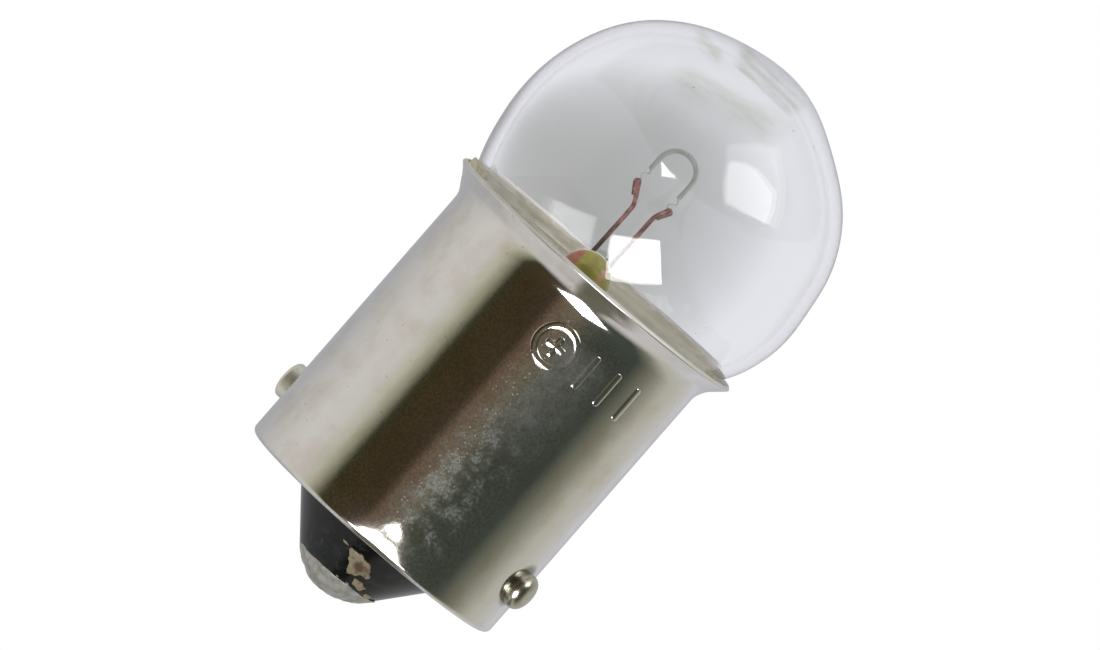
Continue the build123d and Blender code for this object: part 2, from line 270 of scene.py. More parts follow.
def nickelMaterial(name, tone, wearAndPaintedLight, cleanRoughness):
    material, tree, shader = newMaterial(name)
    place = millimetres(tree)
    sideways = along(tree, place, across)
    height = along(tree, place, lampAxis)
    smears = useGroup(tree, blotchGroup, Vector=place, Scale=0.5, Low=0.42, High=0.75)
    specks = useGroup(tree, speckGroup, Vector=place, Scale=1.6, Width=0.17, Share=0.45)
    clouds = useGroup(tree, blotchGroup, Vector=place, Scale=1.1, Low=0.34, High=0.72)
    flecks = useGroup(tree, blotchGroup, Vector=place, Scale=6.5, Low=0.42, High=0.62)
    grain = useGroup(tree, blotchGroup, Vector=place, Scale=7.0, Low=0.35, High=0.65)
    sparks = useGroup(tree, speckGroup, Vector=place, Scale=5.0, Width=0.36, Share=0.55)
    worn = product(tree, fade(tree, along(tree, place, frontward), *plate["front"]), wearAndPaintedLight)
    grimeAndGlintZone = product(tree, worn, window(tree, sideways, *plate["grimeAndGlintAcross"]),
                     fade(tree, height, *plate["grimeAndGlintTop"]))
    dust = product(tree, worn, window(tree, sideways, *plate["dustAcross"]),
                   window(tree, height, *plate["dustUp"]), clouds,
                   fade(tree, flecks, 0.0, 1.0, *plate["dustShare"]))
    haze = product(tree, worn, window(tree, sideways, *plate["hazeAcross"]),
                   window(tree, height, *plate["hazeUp"]), fade(tree, clouds, 0.0, 1.0, *plate["hazeShare"]))
    dust = mathNode(tree, "MAXIMUM", dust, haze)
    # Painted glints: pale specks in the colour stand in for light glinting off pits in the plate
    paintedGlints = product(tree, grimeAndGlintZone, sparks, window(tree, sideways, *plate["paintedGlintsAcross"]))
    # Painted shade: the plate is darkened round the foot of the right pin
    pinShade = fade(tree, vectorMath(tree, "DISTANCE", place, plate["pinFoot"]), *plate["pinShadeReach"])
    colour = mixColour(tree, product(tree, smears, plate["smearShare"]), tone, plate["smearTone"])
    colour = mixColour(tree, product(tree, grimeAndGlintZone, grain, plate["grimeShare"]), colour, plate["grimeTone"])
    colour = mixColour(tree, product(tree, specks, plate["speckShare"]), colour, plate["speckTone"])
    # The painted shade at the pin's foot darkens the colour
    colour = mixColour(tree, product(tree, pinShade, wearAndPaintedLight, plate["pinShadeShare"]), colour, plate["pinShadeTone"])
    colour = mixColour(tree, dust, colour, plate["dustTone"])
    colour = mixColour(tree, fade(tree, dust, *plate["paleFrom"]), colour, plate["paleTone"])
    # The painted glints go into the colour last
    colour = mixColour(tree, paintedGlints, colour, plate["paintedGlintTone"])
    waves = noiseTexture(tree, place, *plate["waves"])
    pits = noiseTexture(tree, place, *plate["pits"])
    pitStrength = fade(tree, grimeAndGlintZone, 0.0, 1.0, *plate["pitStrength"])
    normal = bumpNode(tree, waves, plate["waveStrength"] * wearAndPaintedLight, plate["waveDepth"])
    normal = bumpNode(tree, pits, pitStrength, plate["pitDepth"], normal)
    dustAndGlints = mathNode(tree, "MAXIMUM", dust, product(tree, paintedGlints, plate["paintedGlintShare"]))
    dull = mathNode(tree, "MAXIMUM", dust, fade(tree, height, *plate["dullBottom"]))
    roughness = mathNode(tree, "MAXIMUM", fade(tree, dull, 0.0, 1.0, cleanRoughness, plate["dustRoughness"]),
                         fade(tree, height, *plate["cutEdge"]))
    setShader(tree, shader, Base_Color=colour, Normal=normal, Roughness=roughness,
              Metallic=fade(tree, dustAndGlints, 0.0, 1.0, 1.0, plate["dustMetallic"]))
    return material


# Clear glass: lamps shine through it, so what is inside is lit. The thick crown has a broad grey tinge and
# two olive streaks, each with its slope, its windows up the axis and across, and its colour
crown = {
    "clear": (0.975, 0.98, 0.98),
    "stretch": (0.35, 0.35, 1.6),
    "uneven": (0.35, 0.9),
    "tints": (
        (-0.22, (23.6, 24.5, 25.1, 25.7), (-4.3, -2.3, 1.4, 3.2), (0.82, 0.83, 0.78)),
        (0.04, (26.48, 26.70, 27.02, 27.20), (-2.1, -1.3, 1.9, 2.7), (0.38, 0.39, 0.27)),
        (0.14, (25.42, 25.60, 25.82, 26.00), (-4.3, -3.6, -2.7, -2.0), (0.62, 0.63, 0.53)),
    ),
}


def glassMaterial():
    material, tree, shader = newMaterial("clearGlass")
    place = millimetres(tree)
    stretched = scaled(tree, place, crown["stretch"])
    streaks = useGroup(tree, blotchGroup, Vector=stretched, Scale=0.9, Low=0.40, High=0.68)
    uneven = fade(tree, streaks, 0.0, 1.0, *crown["uneven"])
    sideways = along(tree, place, across)
    colour = crown["clear"]
    for slope, heights, sides, tint in crown["tints"]:
        level = along(tree, place, lampAxis + across * slope)
        mask = product(tree, window(tree, level, *heights), window(tree, sideways, *sides), uneven)
        colour = mixColour(tree, mask, colour, tint)
    setShader(tree, shader, Base_Color=colour, Roughness=0.0, IOR=1.5, Transmission_Weight=1.0)
    clear = addNode(tree, "ShaderNodeBsdfTransparent", None, {"Color": (0.97, 0.97, 0.97, 1)})
    shadowRay = addNode(tree, "ShaderNodeLightPath").outputs["Is Shadow Ray"]
    choices = {0: shadowRay, 1: shader.outputs[0], 2: clear.outputs[0]}
    mixed = addNode(tree, "ShaderNodeMixShader", None, choices)
    tree.links.new(mixed.outputs[0], tree.nodes["Material Output"].inputs["Surface"])
    return material


# Olive glass of the press, rusty along its left edge and where the right wire comes near its face
press = {
    "top": (12.9, 13.2),
    "rustAcross": (-0.92, -1.12),
    "wireAcross": (0.16, 0.28, 0.40, 0.52),
    "wireUp": (13.6, 13.9, 14.4, 14.7),
    "olive": (0.30, 0.27, 0.035),
    "oliveDark": (0.22, 0.20, 0.03),
    "rust": (0.33, 0.10, 0.05),
    "wire": (0.45, 0.20, 0.12),
    "wireShare": 0.8,
}


def stemMaterial():
    material, tree, shader = newMaterial("stemGlass")
    place = millimetres(tree)
    sideways = along(tree, place, across)
    height = along(tree, place, lampAxis)
    clouds = useGroup(tree, blotchGroup, Vector=place, Scale=1.4, Low=0.35, High=0.7)
    rust = product(tree, fade(tree, height, *press["top"]), fade(tree, sideways, *press["rustAcross"]))
    wire = product(tree, window(tree, sideways, *press["wireAcross"]), window(tree, height, *press["wireUp"]))
    colour = mixColour(tree, clouds, press["olive"], press["oliveDark"])
    colour = mixColour(tree, rust, colour, press["rust"])
    colour = mixColour(tree, product(tree, wire, press["wireShare"]), colour, press["wire"])
    setShader(tree, shader, Base_Color=colour, Roughness=0.12)
    return material


# Copper-coated wire: browned in patches, nearly black where it comes out of the press
wireFinish = {
    "copper": (0.30, 0.125, 0.100),
    "brown": (0.09, 0.038, 0.030),
    "burnt": (0.035, 0.028, 0.018),
    "burntUp": (16.4, 14.9),
}


def copperMaterial():
    material, tree, shader = newMaterial("copper")
    place = millimetres(tree)
    patches = useGroup(tree, blotchGroup, Vector=place, Scale=3.5, Low=0.38, High=0.60)
    burnt = fade(tree, along(tree, place, lampAxis), *wireFinish["burntUp"])
    colour = mixColour(tree, patches, wireFinish["copper"], wireFinish["brown"])
    colour = mixColour(tree, burnt, colour, wireFinish["burnt"])
    setShader(tree, shader, Base_Color=colour, Roughness=0.38, Metallic=0.3)
    return material


# Black glass with a painted bluish sheen and brown smears
coneFinish = {
    "black": (0.004, 0.005, 0.005),
    "paintedSheen": (0.018, 0.024, 0.031),
    "smear": (0.050, 0.046, 0.034),
    "smearShare": 0.8,
    "roughness": (0.14, 0.30),
}


def blackMaterial():
    material, tree, shader = newMaterial("blackGlass")
    place = millimetres(tree)
    paintedSheen = useGroup(tree, blotchGroup, Vector=place, Scale=1.3, Low=0.48, High=0.72)
    smears = useGroup(tree, blotchGroup, Vector=place, Scale=2.2, Low=0.58, High=0.74)
    # Painted sheen: bluish patches in the colour stand in for light reflected off the black glass
    colour = mixColour(tree, paintedSheen, coneFinish["black"], coneFinish["paintedSheen"])
    colour = mixColour(tree, product(tree, smears, coneFinish["smearShare"]), colour, coneFinish["smear"])
    setShader(tree, shader, Base_Color=colour, Specular_IOR_Level=0.3,
              Roughness=fade(tree, paintedSheen, 0.0, 1.0, *coneFinish["roughness"]))
    return material


# Dull finish in two tones, with a fine or coarse surface
def mottledMaterial(name, light, dark, scale, roughness, metallic=0.0, relief=0.3, depth=0.03):
    material, tree, shader = newMaterial(name)
    place = millimetres(tree)
    patches = useGroup(tree, blotchGroup, Vector=place, Scale=scale, Low=0.35, High=0.65)
    setShader(tree, shader, Base_Color=mixColour(tree, patches, light, dark), Roughness=roughness,
              Metallic=metallic, Normal=bumpNode(tree, patches, relief, depth))
    return material


nickel = nickelMaterial("nickel", (0.82, 0.805, 0.79), wearAndPaintedLight=1.0, cleanRoughness=0.09)
# One nickel in two tones: painted shade darkens the right pin, a painted highlight lightens the left
pinLitAndShaded = {
    "Right": nickelMaterial("pinRightShaded", (0.60, 0.57, 0.48), wearAndPaintedLight=0.25, cleanRoughness=0.24),
    "Left": nickelMaterial("pinLeftLit", (0.86, 0.85, 0.76), wearAndPaintedLight=0.25, cleanRoughness=0.42),
}
clearGlass = glassMaterial()
stemGlass = stemMaterial()
blackGlass = blackMaterial()
solder = mottledMaterial("solder", (0.55, 0.55, 0.51), (0.36, 0.355, 0.31),
                         scale=1.8, roughness=0.5, metallic=0.5)
copper = copperMaterial()
tungsten = mottledMaterial("tungsten", (0.30, 0.32, 0.28), (0.24, 0.26, 0.225),
                           scale=3.0, roughness=0.4, metallic=0.7, relief=0.0)
cementTan = mottledMaterial("cement", (0.55, 0.51, 0.37), (0.46, 0.42, 0.28),
                            scale=1.0, roughness=0.6, relief=0.1)
speckGrey = mottledMaterial("speck", (0.66, 0.65, 0.62), (0.54, 0.53, 0.50), scale=8.0, roughness=0.6)
brass = mottledMaterial("brass", (0.72, 0.55, 0.25), (0.64, 0.48, 0.21),
                        scale=1.5, roughness=0.3, metallic=1.0, relief=0.0)
print("materials ready")

# Mesh helpers. Meshes are drawn in millimetres and scaled when they are finished
mergeDistance = 0.0005
nearlyZero = 0.000001


def mountPoint(x, height, front=0.0):
    return across * x + lampAxis * height + frontward * front


# Outline in the plane of the axis. A third number at a point rounds it
def wireOutline(points, closed=False, segments=8):
    bm = bmesh.new()
    row = [bm.verts.new((point[0], 0, point[1])) for point in points]
    pairs = list(zip(row, row[1:]))
    if closed:
        pairs.append((row[-1], row[0]))
    for pair in pairs:
        bm.edges.new(pair)
    for vert, point in zip(row, points):
        if len(point) > 2:
            bmesh.ops.bevel(bm, geom=[vert], offset=point[2], offset_type="OFFSET", segments=segments,
                            profile=0.5, affect="VERTICES", material=-1)
    return bm


def cutLongEdges(bm, longest):
    for edge in bm.edges[:]:
        cuts = int(edge.calc_length() / longest)
        if cuts:
            bmesh.ops.subdivide_edges(bm, edges=[edge], cuts=cuts)


def spinRound(bm, steps):
    bmesh.ops.spin(bm, geom=bm.verts[:] + bm.edges[:], cent=(0, 0, 0), axis=(0, 0, 1), angle=2 * math.pi,
                   steps=steps, use_merge=True, use_duplicate=False)
    bmesh.ops.remove_doubles(bm, verts=bm.verts[:], dist=mergeDistance)


def arc(centre, radius, start, end, count):
    angles = [math.radians(start + (end - start) * step / count) for step in range(count + 1)]
    return [(radius * math.cos(angle), centre + radius * math.sin(angle)) for angle in angles]


def tubeAlong(routes, radius, kind="POLY", sides=1):
    curve = bpy.data.curves.new("route", "CURVE")
    curve.dimensions = "3D"
    curve.bevel_depth = radius
    curve.bevel_resolution = sides
    curve.use_fill_caps = True
    for route in routes:
        spline = curve.splines.new(kind)
        spline.points.add(len(route) - 1)
        for point, place in zip(spline.points, route):
            point.co = (*place, 1)
        spline.order_u = 3
        spline.use_endpoint_u = True
        spline.resolution_u = 6
    curveObject = bpy.data.objects.new("route", curve)
    bm = bmesh.new()
    bm.from_mesh(curveObject.to_mesh())
    curveObject.to_mesh_clear()
    bpy.data.objects.remove(curveObject)
    bpy.data.curves.remove(curve)
    return bm


def joinMesh(target, source):
    mesh = bpy.data.meshes.new("joined")
    source.to_mesh(mesh)
    source.free()
    target.from_mesh(mesh)
    bpy.data.meshes.remove(mesh)


def addPiece(name, bm, material, slot, *replaced):
    bmesh.ops.remove_doubles(bm, verts=bm.verts[:], dist=mergeDistance)
    bmesh.ops.recalc_face_normals(bm, faces=bm.faces[:])
    bmesh.ops.scale(bm, vec=(mm, mm, mm), verts=bm.verts[:])
    mesh = bpy.data.meshes.new(name)
    bm.to_mesh(mesh)
    bm.free()
    mesh.shade_smooth()
    mesh.materials.append(material)
    piece = bpy.data.objects.new(name, mesh)
    scene.collection.objects.link(piece)
    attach(piece, "root")
    if replaced:
        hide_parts(*replaced)
    return piece


def smoothStep(value, low, high):
    share = min(max((value - low) / (high - low), 0), 1)
    return share * share * (3 - 2 * share)


# Bell-shaped share, 1 at the middle
def bell(value, middle, width):
    return math.exp(-((value - middle) / width) ** 2)


# Uneven value for a place, the same on every run
def roughAt(place):
    return noise.fractal(place, 1.0, 2.0, 3)


# Angle round the axis from the front, positive to the right
def roundAngle(place):
    return math.degrees(math.atan2(place.dot(across), place.dot(frontward)))


# Glass globe and neck, leaning a little to one side above the rim. Flats and swellings of the outline are
# given by angle from the crown, width and amount
globe = {
    "radius": 9.0,
    "centre": 18.365,
    "stretch": 0.17,
    "wall": 0.6,
    "neckRadius": 7.005,
    "neckInner": 6.205,
    "neckEnd": 4.0,
    "neckRound": 0.2,
    "bendHeight": 13.02,
    "bendSetback": 0.4,
    "shoulderAngle": -29.8,
    "innerShoulder": -34.0,
    "crownExtra": 0.05,
    "crownSpread": 5.0,
    "drift": 0.28,
    "driftRange": (12.0, 17.0),
    "flats": (
        (-100, 26, -0.05),
        (-50, 16, 0.10),
        (-12, 14, -0.11),
        (33, 17, -0.29),
        (65, 22, -0.09),
        (84, 10, -0.13),
        (118, 9, 0.14),
    ),
    "upperRows": 44,
    "lowerRows": 16,
    "rowHeight": 1.0,
    "steps": 192,
}
innerRadius = globe["radius"] - globe["wall"]
upperCentre = globe["centre"] + globe["stretch"]
outside = arc(upperCentre, globe["radius"], 90, 0, globe["upperRows"])
outside += arc(globe["centre"], globe["radius"], 0, globe["shoulderAngle"], globe["lowerRows"])
inside = arc(globe["centre"], innerRadius, globe["innerShoulder"], 0, globe["lowerRows"])
inside += arc(upperCentre, innerRadius, 0, 90, globe["upperRows"])
neck = [
    (globe["neckRadius"], globe["bendHeight"], globe["bendSetback"]),
    (globe["neckRadius"], globe["neckEnd"], globe["neckRound"]),
    (globe["neckInner"], globe["neckEnd"], globe["neckRound"]),
    (globe["neckInner"], globe["bendHeight"], globe["bendSetback"]),
]
thickened = []
for radius, height in inside:
    share = 1 - smoothStep(radius, 0, globe["crownSpread"]) if height > upperCentre else 0
    thickened.append((radius, height - globe["crownExtra"] * share))
bm = wireOutline(outside + neck + thickened)
cutLongEdges(bm, globe["rowHeight"])
spinRound(bm, globe["steps"])
for vert in bm.verts:
    fromCentre = vert.co - lampAxis * upperCentre
    angle = math.degrees(math.atan2(fromCentre.dot(across), fromCentre.z))
    edgewise = 1 - (fromCentre.normalized().dot(frontward)) ** 2
    swell = sum(amount * bell(angle, middle, width) for middle, width, amount in globe["flats"])
    aboveRim = smoothStep(vert.co.z, *globe["driftRange"])
    vert.co += fromCentre.normalized() * swell * edgewise * aboveRim + across * globe["drift"] * aboveRim
addPiece("glassEnvelope", bm, clearGlass, "clear_glass", "glass_envelope")
print("glass ready")

# Cap shell: turned-in lip, straight wall and flared rim. Dents on the front are given by place to the right,
# height, width, length and depth. The last one has a negative depth and swells the left end of the flare
cap = {
    "radius": capRadius,
    "wall": 0.25,
    "bottom": -2.85,
    "lipRadius": 6.2,
    "lipRound": 0.08,
    "corner": 0.3,
    "innerCorner": 0.2,
    "bend": 12.92,
    "bendSetback": 0.56,
    "rimDrift": 0.09,
    "driftStart": 12.4,
    "rimRadius": 8.62,
    "rim": 13.89,
    "rimRound": 0.07,
    "dents": (
        (0.75, -2.85, 1.3, 0.47, 0.17),
        (0.95, -1.85, 0.6, 0.5, 0.05),
        (-7.9, 13.1, 1.2, 0.45, -0.16),
    ),
    "dentedFront": (-4.0, -1.0),
    "steps": 256,
    "roundSteps": 16,
    "rowHeight": 0.2,
}
flareSlope = Vector((cap["rimRadius"] - cap["radius"], cap["rim"] - cap["bend"])).normalized()
rimInside = (cap["rimRadius"] - flareSlope.y * cap["wall"], cap["rim"] + flareSlope.x * cap["wall"])
innerWall = cap["radius"] - cap["wall"]
innerBend = rimInside[1] - (rimInside[0] - innerWall) * flareSlope.y / flareSlope.x


def rimShift(height):
    return across * cap["rimDrift"] * smoothStep(height, cap["driftStart"], cap["rim"])


bm = wireOutline(
    [
        (cap["lipRadius"], cap["bottom"], cap["lipRound"]),
        (cap["radius"], cap["bottom"], cap["corner"]),
        (cap["radius"], cap["bend"], cap["bendSetback"]),
        (cap["rimRadius"], cap["rim"], cap["rimRound"]),
        (*rimInside, cap["rimRound"]),
        (innerWall, innerBend, cap["bendSetback"]),
        (innerWall, cap["bottom"] + cap["wall"], cap["innerCorner"]),
        (cap["lipRadius"], cap["bottom"] + cap["wall"], cap["lipRound"]),
    ],
    closed=True,
    segments=cap["roundSteps"],
)
cutLongEdges(bm, cap["rowHeight"])
spinRound(bm, cap["steps"])
for vert in bm.verts:
    vert.co += rimShift(vert.co.z)
    inward = -Vector((vert.co.x, vert.co.y, 0)).normalized()
    facing = smoothStep(vert.co.dot(frontward), *cap["dentedFront"])
    sideways = vert.co.dot(across)
    for middle, height, width, length, depth in cap["dents"]:
        vert.co += inward * facing * depth * bell(sideways, middle, width) * bell(vert.co.z, height, length)
addPiece("capShell", bm, nickel, "nickel_plate", "cap_shell")
print("cap ready")

# Mark on the front of the shell: a ring with a cross, and three bars, laid flat and wrapped round
mark = {
    "start": 0.9,
    "height": 10.4,
    "ring": 1.05,
    "ringSteps": 64,
    "cross": 1.1,
    "stroke": 0.2,
    "strokeSides": 12,
    "strokeRound": 0.8,
    "strokeCut": 0.15,
    "relief": 0.055,
    "bars": (2.0, 3.5, 5.0),
    "barLength": 2.0,
}
quarterTurn = math.pi / 2
bm = bmesh.new()
bmesh.ops.create_circle(bm, segments=mark["strokeSides"], radius=mark["stroke"],
                        matrix=Matrix.Rotation(quarterTurn, 4, "X"))
bmesh.ops.translate(bm, vec=(mark["ring"], 0, 0), verts=bm.verts[:])
spinRound(bm, mark["ringSteps"])
crossLength = mark["ring"] * mark["cross"]
strokes = [(0, crossLength, 0), (0, crossLength, quarterTurn)]
strokes += [(place, mark["barLength"], quarterTurn) for place in mark["bars"]]
for place, length, turn in strokes:
    endRound = mark["stroke"] * mark["strokeRound"]
    rod = wireOutline([
        (0, length / 2),
        (mark["stroke"], length / 2, endRound),
        (mark["stroke"], -length / 2, endRound),
        (0, -length / 2),
    ])
    cutLongEdges(rod, mark["strokeCut"])
    spinRound(rod, mark["strokeSides"])
    lay = Matrix.Rotation(turn, 4, "Z") @ Matrix.Rotation(quarterTurn, 4, "Y")
    bmesh.ops.transform(rod, matrix=Matrix.Translation((place, 0, 0)) @ lay, verts=rod.verts[:])
    joinMesh(bm, rod)
for vert in bm.verts:
    turn = (mark["start"] + vert.co.x) / cap["radius"]
    radius = cap["radius"] + vert.co.z * mark["relief"] / mark["stroke"]
    outward = frontward * math.cos(turn) + across * math.sin(turn)
    vert.co = outward * radius + lampAxis * (mark["height"] + vert.co.y)
stampedMark = addPiece("stampedMark", bm, nickel, "nickel_plate")
stampedMark.visible_glossy = False
print("mark ready")

# Bayonet pins: stud outside, spigot through the wall, rivet head inside
pin = {
    "radius": 1.0,
    "proud": 0.76,
    "endSetback": {"Right": 0.55, "Left": 0.2},
    "sunk": 0.07,
    "spigot": 0.75,
    "edgeRound": 0.03,
    "headRadius": 1.3,
    "headHeight": 0.35,
    "headFoot": 0.06,
    "headRound": 0.12,
    "steps": 48,
}
headTop = -cap["wall"] - pin["headHeight"]
for name, side in (("Right", 1), ("Left", -1)):
    bm = wireOutline([
        (0, pin["proud"]),
        (pin["radius"], pin["proud"], pin["endSetback"][name]),
        (pin["radius"], -pin["sunk"], pin["edgeRound"]),
        (pin["spigot"], -pin["sunk"], pin["edgeRound"]),
        (pin["spigot"], -cap["wall"], pin["edgeRound"]),
        (pin["headRadius"], -cap["wall"], pin["headFoot"]),
        (pin["headRadius"], headTop, pin["headRound"]),
        (0, headTop),
    ])
    spinRound(bm, pin["steps"])
    place = Matrix.Translation((side * cap["radius"], 0, 0)) @ Matrix.Rotation(side * quarterTurn, 4, "Y")
    bmesh.ops.transform(bm, matrix=place, verts=bm.verts[:])
    # Each pin takes its own lit or shaded copy of the nickel
    addPiece("bayonetPin" + name, bm, pinLitAndShaded[name], "nickel_plate", "bayonet_pin_" + name.lower())
print("pins ready")

# Cement between the glass and the shell, rough on top, with a lump at the left end of the rim
cement = {
    "foot": 5.2,
    "play": 0.01,
    "topInner": (7.80, 13.88),
    "topOuter": (8.27, 13.93),
    "topRange": (13.6, 13.85),
    "rough": 0.03,
    "grain": 2.5,
    "lumpAngle": -97,
    "lumpWidth": 8,
    "lumpHeight": 0.38,
    "rowHeight": 0.12,
    "steps": 256,
}
cementInner = globe["neckRadius"] + cement["play"]
cementOuter = innerWall - cement["play"]
bm = wireOutline(
    [
        (cementInner, cement["foot"]),
        (cementOuter, cement["foot"]),
        (cementOuter, innerBend, cap["bendSetback"]),
        cement["topOuter"],
        cement["topInner"],
        (cementInner, globe["bendHeight"], globe["bendSetback"]),
    ],
    closed=True,
)
cutLongEdges(bm, cement["rowHeight"])
spinRound(bm, cement["steps"])
for vert in bm.verts:
    nearTop = smoothStep(vert.co.z, *cement["topRange"])
    lump = cement["lumpHeight"] * bell(roundAngle(vert.co), cement["lumpAngle"], cement["lumpWidth"])
    rough = cement["rough"] * roughAt(vert.co * cement["grain"])
    vert.co += rimShift(vert.co.z)
    vert.co.z += nearTop * (lump + rough)
addPiece("cementRing", bm, cementTan, "cement", "cement")
print("cement ready")

# Black glass insulator with its cone
insulator = {
    "top": -1.4,
    "topRound": 0.1,
    "rimRadius": 7.35,
    "ledge": -2.6,
    "ledgeRound": 0.05,
    "hole": 6.2,
    "face": -2.85,
    "coneBase": 4.42,
    "coneRound": 0.4,
    "coneTip": 2.225,
    "tipHeight": -5.5,
    "tipRound": 0.15,
    "bore": 1.4,
    "rowHeight": 0.25,
    "steps": 160,
}
bm = wireOutline(
    [
        (insulator["bore"], insulator["top"]),
        (insulator["rimRadius"], insulator["top"], insulator["topRound"]),
        (insulator["rimRadius"], insulator["ledge"], insulator["ledgeRound"]),
        (insulator["hole"], insulator["ledge"], insulator["ledgeRound"]),
        (insulator["hole"], insulator["face"], insulator["ledgeRound"]),
        (insulator["coneBase"], insulator["face"], insulator["coneRound"]),
        (insulator["coneTip"], insulator["tipHeight"], insulator["tipRound"]),
        (insulator["bore"], insulator["tipHeight"]),
    ],
    closed=True,
)
cutLongEdges(bm, insulator["rowHeight"])
spinRound(bm, insulator["steps"])
addPiece("insulatorCone", bm, blackGlass, "black_glass", "insulator")
print("insulator ready")

# Solder dome on the tip of the cone: a lumpy round cap whose edge creeps up the cone unevenly. Each creep has
# its angle from the front, width and amount
dome = {
    "tip": -6.56,
    "edge": -5.42,
    "radius": 2.27,
    "underside": 0.05,
    "stub": 0.7,
    "stubTop": -4.5,
    "lump": 0.06,
    "lumpGrain": 1.3,
    "lumpSeed": Vector((4, 0, 0)),
    "lumpOut": 0.5,
    "calmEdge": 0.4,
    "ragged": 0.13,
    "raggedGrain": 3.0,
    "edgeWidth": 0.35,
    "creepRise": 0.3,
    "creeps": ((82, 22, 0.30), (35, 14, 0.12), (-70, 30, 0.05)),
    "rows": 20,
    "rowHeight": 0.12,
    "steps": 128,
}
domeHeight = dome["edge"] - dome["tip"]
domeRound = (dome["radius"] ** 2 + domeHeight ** 2) / (2 * domeHeight)
domeSpan = math.degrees(math.asin(dome["radius"] / domeRound))
bm = wireOutline(arc(dome["tip"] + domeRound, domeRound, -90, domeSpan - 90, dome["rows"]) + [
    (dome["stub"], dome["edge"] + dome["underside"]),
    (dome["stub"], dome["stubTop"]),
    (0, dome["stubTop"]),
])
cutLongEdges(bm, dome["rowHeight"])
spinRound(bm, dome["steps"])
coneWidth = insulator["coneBase"] - insulator["coneTip"]
coneHeight = insulator["face"] - insulator["tipHeight"]
coneSlope = Vector((coneWidth, coneHeight)).normalized()
tiny = 0.001
for vert in bm.verts:
    fromAxis = vert.co.xy.length
    if vert.co.z < dome["edge"] + dome["underside"] + tiny and fromAxis > tiny:
        outward = Vector((vert.co.x, vert.co.y, 0)).normalized()
        fromEdge = smoothStep(dome["edge"] - vert.co.z, 0.0, dome["calmEdge"])
        lump = dome["lump"] * roughAt(vert.co * dome["lumpGrain"] + dome["lumpSeed"])
        creep = dome["ragged"] * roughAt(outward * dome["raggedGrain"])
        for middle, width, amount in dome["creeps"]:
            creep += amount * bell(roundAngle(vert.co), middle, width)
        atEdge = smoothStep(fromAxis, dome["radius"] - dome["edgeWidth"], dome["radius"])
        lift = max(creep, 0) * dome["creepRise"]
        vert.co += (outward * dome["lumpOut"] - lampAxis) * lump * fromEdge
        vert.co += (outward * coneSlope.x + lampAxis * coneSlope.y) * creep * atEdge
        vert.co += (outward * coneSlope.y - lampAxis * coneSlope.x) * lift * atEdge
addPiece("solderDome", bm, solder, "solder", "contact_solder")


# Place on the cone's face, turned so that its own z points out of the glass
def conePlace(sideways, height):
    radius = insulator["coneBase"] - coneWidth * (insulator["face"] - height) / coneHeight
    outward = (across * sideways + frontward * math.sqrt(radius ** 2 - sideways ** 2)).normalized()
    normal = outward * coneSlope.y - lampAxis * coneSlope.x
    right = lampAxis.cross(outward)
    up = normal.cross(right)
    return Matrix.Translation(outward * radius + lampAxis * height) @ turned(right, up, normal)


# Burnt flux left on the cone, cream with a brown core. Each spot has its place to the right and height,
# its thickness and its corners
flux = {
    "spots": (
        (0.68, -4.15, 0.09, ((0.29, 0.56), (-0.99, 0.62), (-0.46, -0.25), (-0.06, -0.96), (0.90, -0.21))),
        (1.27, -5.00, 0.06, ((0.46, 0.10), (0.02, 0.30), (-0.40, 0.18), (-0.24, -0.24), (0.36, -0.26))),
        (-0.51, -3.73, 0.04, ((0.22, -0.03), (0.02, 0.06), (-0.24, 0.08), (-0.10, -0.06))),
        (2.00, -5.20, 0.10, ((0.32, 0.02), (0.05, 0.16), (-0.30, 0.08), (-0.20, -0.15), (0.22, -0.16))),
        (0.25, -5.34, 0.05, ((0.09, 0.0), (0.0, 0.06), (-0.10, 0.02), (-0.02, -0.07))),
        (0.85, -5.32, 0.05, ((0.12, 0.02), (0.0, 0.07), (-0.12, 0.02), (-0.02, -0.06))),
    ),
    "ragged": 0.25,
    "raggedGrain": 3.0,
    "lumpy": 0.7,
    "lumpyGrain": 4.0,
    "grain": (2.5, 3.0),
    "core": (0.76, -4.22),
    "coreRagged": (0.3, 0.7, -0.15, 0.15),
    "coreReach": (0.18, 0.60),
    "coreTone": (0.15, 0.080, 0.036),
    "cream": (0.43, 0.355, 0.21),
    "grime": (0.10, 0.075, 0.045),
    "grimeShare": 0.6,
    "bump": (0.5, 0.05),
}


# Distance from the middle of an outline to its edge at an angle
def reach(corners, angle):
    way = Vector((math.cos(angle), math.sin(angle)))
    for first, second in zip(corners, corners[1:] + corners[:1]):
        edge = second - first
        slant = way.cross(edge)
        share = first.cross(way) / slant if abs(slant) > nearlyZero else -1
        if 0 <= share <= 1 and first.cross(edge) / slant > 0:
            return first.cross(edge) / slant
    return 0.0


def fluxMaterial():
    material, tree, shader = newMaterial("flux")
    place = millimetres(tree)
    ragged = noiseTexture(tree, place, *flux["grain"])
    fromCore = vectorMath(tree, "DISTANCE", place, conePlace(*flux["core"]).to_translation())
    fromCore = mathNode(tree, "ADD", fromCore, fade(tree, ragged, *flux["coreRagged"]))
    grime = useGroup(tree, blotchGroup, Vector=place, Scale=4.0, Low=0.5, High=0.7)
    colour = mixColour(tree, fade(tree, fromCore, *flux["coreReach"]), flux["coreTone"], flux["cream"])
    colour = mixColour(tree, product(tree, grime, flux["grimeShare"]), colour, flux["grime"])
    setShader(tree, shader, Base_Color=colour, Roughness=0.45, Normal=bumpNode(tree, ragged, *flux["bump"]))
    return material


